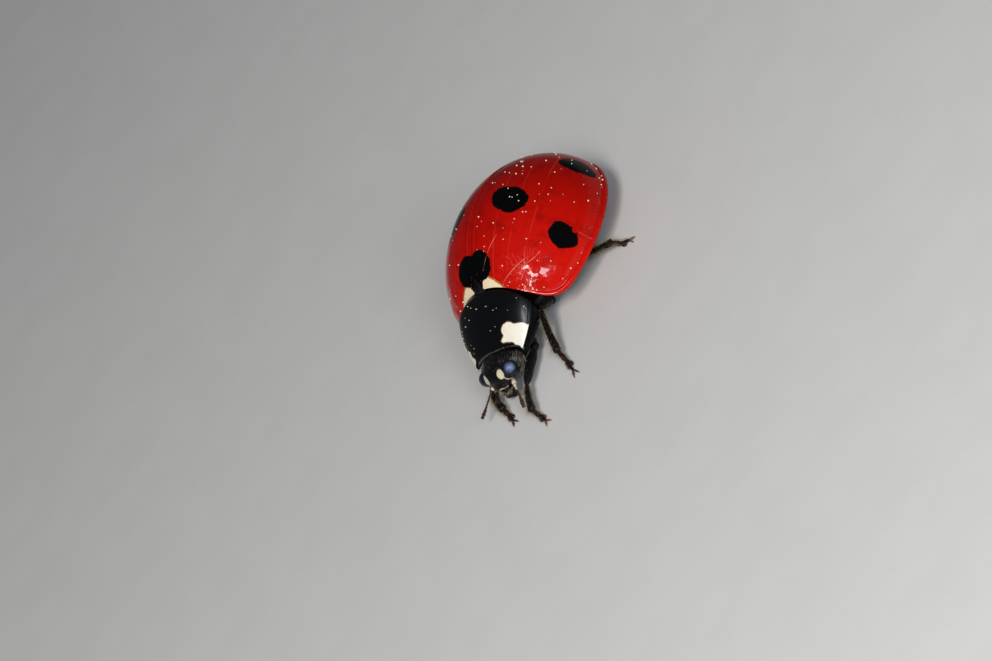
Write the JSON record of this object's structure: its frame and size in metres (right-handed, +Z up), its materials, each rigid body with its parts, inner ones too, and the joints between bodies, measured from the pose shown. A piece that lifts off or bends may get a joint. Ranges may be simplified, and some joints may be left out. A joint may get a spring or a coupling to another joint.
{
  "type": "seven-spot ladybird",
  "caption": "Life-size model of a walking seven-spot ladybird, standing on its feet, with domed wing cases, pronotum, head, eyes, antennae and jointed-looking legs.",
  "frame": {"origin": "middle of the bounding box on the floor plane, directly under the insect", "axes": "+Z up from the floor the feet stand on, -Y the way the head points, +X the insect's own left side"},
  "size_m": [0.0072, 0.0096, 0.0032],
  "materials": {
    "elytra_red": "gloss",
    "cuticle_black": "gloss",
    "pronotum_black": "gloss",
    "sternum_black": "satin",
    "eye_black": "gloss",
    "feeler_brown": "satin",
    "leg_black": "satin"
  },
  "bodies": {
    "root": {"abdomen": "sternum_black", "antenna_left": "feeler_brown", "antenna_right": "feeler_brown", "coxa_front_left": "leg_black", "coxa_front_right": "leg_black", "coxa_hind_left": "leg_black", "coxa_hind_right": "leg_black", "coxa_middle_left": "leg_black", "coxa_middle_right": "leg_black", "elytron_left": "elytra_red", "elytron_right": "elytra_red", "eye_left": "eye_black", "eye_right": "eye_black", "femur_front_left": "leg_black", "femur_front_right": "leg_black", "femur_hind_left": "leg_black", "femur_hind_right": "leg_black", "femur_middle_left": "leg_black", "femur_middle_right": "leg_black", "head": "cuticle_black", "labrum": "cuticle_black", "mandible_left": "feeler_brown", "mandible_right": "feeler_brown", "maxillary_palp_left": "feeler_brown", "maxillary_palp_right": "feeler_brown", "mesosternum": "sternum_black", "metasternum": "sternum_black", "pronotum": "pronotum_black", "prosternum": "sternum_black", "scutellum": "cuticle_black", "tarsus_front_left": "feeler_brown", "tarsus_front_right": "feeler_brown", "tarsus_hind_left": "feeler_brown", "tarsus_hind_right": "feeler_brown", "tarsus_middle_left": "feeler_brown", "tarsus_middle_right": "feeler_brown", "tibia_front_left": "leg_black", "tibia_front_right": "leg_black", "tibia_hind_left": "leg_black", "tibia_hind_right": "leg_black", "tibia_middle_left": "leg_black", "tibia_middle_right": "leg_black"}
  },
  "joints": []
}
